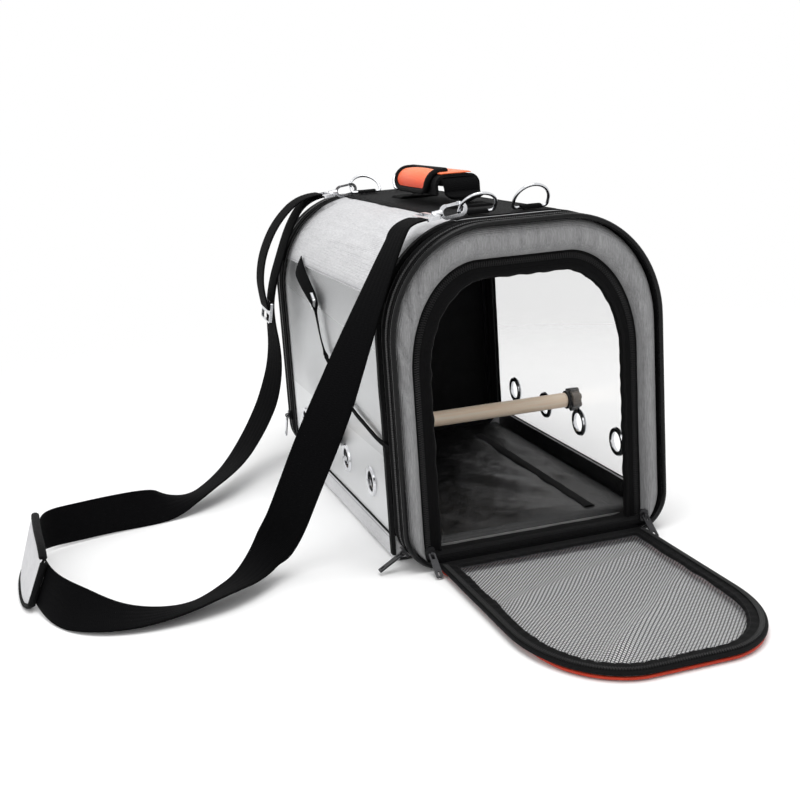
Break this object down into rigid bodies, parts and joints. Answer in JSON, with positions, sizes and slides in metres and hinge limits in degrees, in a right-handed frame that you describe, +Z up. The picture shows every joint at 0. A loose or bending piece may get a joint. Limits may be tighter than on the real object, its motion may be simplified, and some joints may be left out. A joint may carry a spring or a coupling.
{
  "type": "bird travel carrier",
  "caption": "Soft-sided bird travel carrier with an arched net door, clear side windows, a wooden perch, a padded handle and a shoulder strap.",
  "frame": {"origin": "middle of the base, on the surface that the carrier stands on", "axes": "+Z up, -Y towards the door end, +X across to the right as seen from the door end"},
  "size_m": [0.6057, 0.7284, 0.3453],
  "materials": {
    "roof_fabric": "woven",
    "grey_fabric": "heather",
    "black_fabric": "woven",
    "black_nylon": "satin",
    "black_webbing": "ribbed",
    "orange_fabric": "satin",
    "net": "knitted",
    "piping": "gloss",
    "zip": "satin",
    "film": "gloss",
    "board": "matte",
    "steel": "polished",
    "wood": "smooth",
    "knob": "satin"
  },
  "bodies": {
    "carrier": {"base_skin": "black_nylon", "base_board": "board", "floor_mat": "black_nylon", "floor_strip": "black_fabric", "side_skirts": "grey_fabric", "top_cover": "roof_fabric", "cover_lining": "black_nylon", "skirt_lining": "black_nylon", "top_strip": "black_webbing", "left_window": "film", "right_window": "film", "left_eyelets": "steel", "right_eyelets": "steel", "perch": "wood", "perch_studs": "steel", "perch_washers": "steel", "front_panel": "grey_fabric", "door_surround": "black_fabric", "door_sill": "black_fabric", "wire_hoops": "steel", "front_piping": "piping", "front_gusset": "black_fabric", "front_zip": "zip", "rear_piping": "piping", "rear_gusset": "black_fabric", "rear_zip": "zip", "door_hinge_tape": "black_webbing", "handle_feet": "black_webbing", "ring_loops": "black_webbing", "shoulder_strap": "black_webbing", "strap_tail": "black_webbing", "side_tie": "black_webbing", "strap_pad": "grey_fabric", "strap_slide": "steel", "tie_buckle": "steel", "front_slider": "steel", "door_sliders": "steel"},
    "door": {"door_frame": "black_fabric", "door_mesh": "net", "door_piping": "orange_fabric", "door_zip": "zip"},
    "rear_end": {"rear_panel": "grey_fabric", "rear_lining": "black_nylon"},
    "knob_left": {"left_knob": "knob"},
    "knob_right": {"right_knob": "knob"},
    "handle": {"handle_strap": "black_webbing", "handle_wrap": "orange_fabric"},
    "free_ring_front": {"ring_front_right": "steel"},
    "free_ring_rear": {"ring_rear_right": "steel"},
    "hooked_ring_front": {"ring_front_left": "steel", "front_hook": "steel"},
    "hooked_ring_rear": {"ring_rear_left": "steel", "rear_hook": "steel"},
    "gate_front": {"front_gate": "steel"},
    "gate_rear": {"rear_gate": "steel"},
    "pull_front": {"front_pull": "steel"},
    "slider_rear": {"rear_slider": "steel"},
    "pull_rear": {"rear_pull": "steel"},
    "pull_door_left": {"door_pull_left": "steel"},
    "pull_door_right": {"door_pull_right": "steel"}
  },
  "joints": [
    {"name": "door_fold", "type": "hinge", "parent": "carrier", "child": "door", "pos_m": [0, -0.232, 0.009], "axis": [-1, 0, 0], "range_deg": [0, 90]},
    {"name": "rear_fold", "type": "hinge", "parent": "carrier", "child": "rear_end", "pos_m": [0, 0.229, 0.006], "axis": [-1, 0, 0], "range_deg": [0, 90]},
    {"name": "left_knob_turn", "type": "hinge", "parent": "carrier", "child": "knob_left", "pos_m": [-0.1362, -0.016, 0.08], "axis": [1, 0, 0], "continuous": true},
    {"name": "right_knob_turn", "type": "hinge", "parent": "carrier", "child": "knob_right", "pos_m": [0.1362, -0.016, 0.08], "axis": [1, 0, 0], "continuous": true},
    {"name": "handle_lean", "type": "hinge", "parent": "carrier", "child": "handle", "pos_m": [0, -0.01, 0.3085], "axis": [0, 1, 0], "range_deg": [-20, 20]},
    {"name": "front_ring_swing", "type": "hinge", "parent": "carrier", "child": "free_ring_front", "pos_m": [0.026, -0.176, 0.3087], "axis": [1, 0, 0], "range_deg": [-118, 54]},
    {"name": "rear_ring_swing", "type": "hinge", "parent": "carrier", "child": "free_ring_rear", "pos_m": [0.026, 0.176, 0.3087], "axis": [1, 0, 0], "range_deg": [-54, 118]},
    {"name": "front_hooked_swing", "type": "hinge", "parent": "carrier", "child": "hooked_ring_front", "pos_m": [-0.026, -0.176, 0.3087], "axis": [1, 0, 0], "range_deg": [-8, 0]},
    {"name": "rear_hooked_swing", "type": "hinge", "parent": "carrier", "child": "hooked_ring_rear", "pos_m": [-0.026, 0.176, 0.3087], "axis": [1, 0, 0], "range_deg": [0, 8]},
    {"name": "front_gate_press", "type": "hinge", "parent": "hooked_ring_front", "child": "gate_front", "pos_m": [-0.05588, -0.18104, 0.31658], "axis": [0, 1, 0], "range_deg": [0, 12], "stiffness_Nm_per_rad": 0.01},
    {"name": "rear_gate_press", "type": "hinge", "parent": "hooked_ring_rear", "child": "gate_rear", "pos_m": [-0.05588, 0.18104, 0.31658], "axis": [0, 1, 0], "range_deg": [0, 12], "stiffness_Nm_per_rad": 0.01},
    {"name": "front_pull_swing", "type": "hinge", "parent": "carrier", "child": "pull_front", "pos_m": [-0.12929, -0.2155, 0.01605], "axis": [0, 1, 0], "range_deg": [0, 80]},
    {"name": "rear_slider_travel", "type": "slide", "parent": "carrier", "child": "slider_rear", "axis": [0, 0, 1], "range_m": [0, 0.105]},
    {"name": "rear_pull_swing", "type": "hinge", "parent": "slider_rear", "child": "pull_rear", "pos_m": [-0.1349, 0.2155, 0.048], "axis": [0, 1, 0], "range_deg": [0, 100]},
    {"name": "left_door_pull_swing", "type": "hinge", "parent": "carrier", "child": "pull_door_left", "pos_m": [-0.106, -0.2306, 0.0165], "axis": [-1, 0, 0], "range_deg": [0, 105]},
    {"name": "right_door_pull_swing", "type": "hinge", "parent": "carrier", "child": "pull_door_right", "pos_m": [0.106, -0.2306, 0.0165], "axis": [-1, 0, 0], "range_deg": [0, 105]}
  ]
}
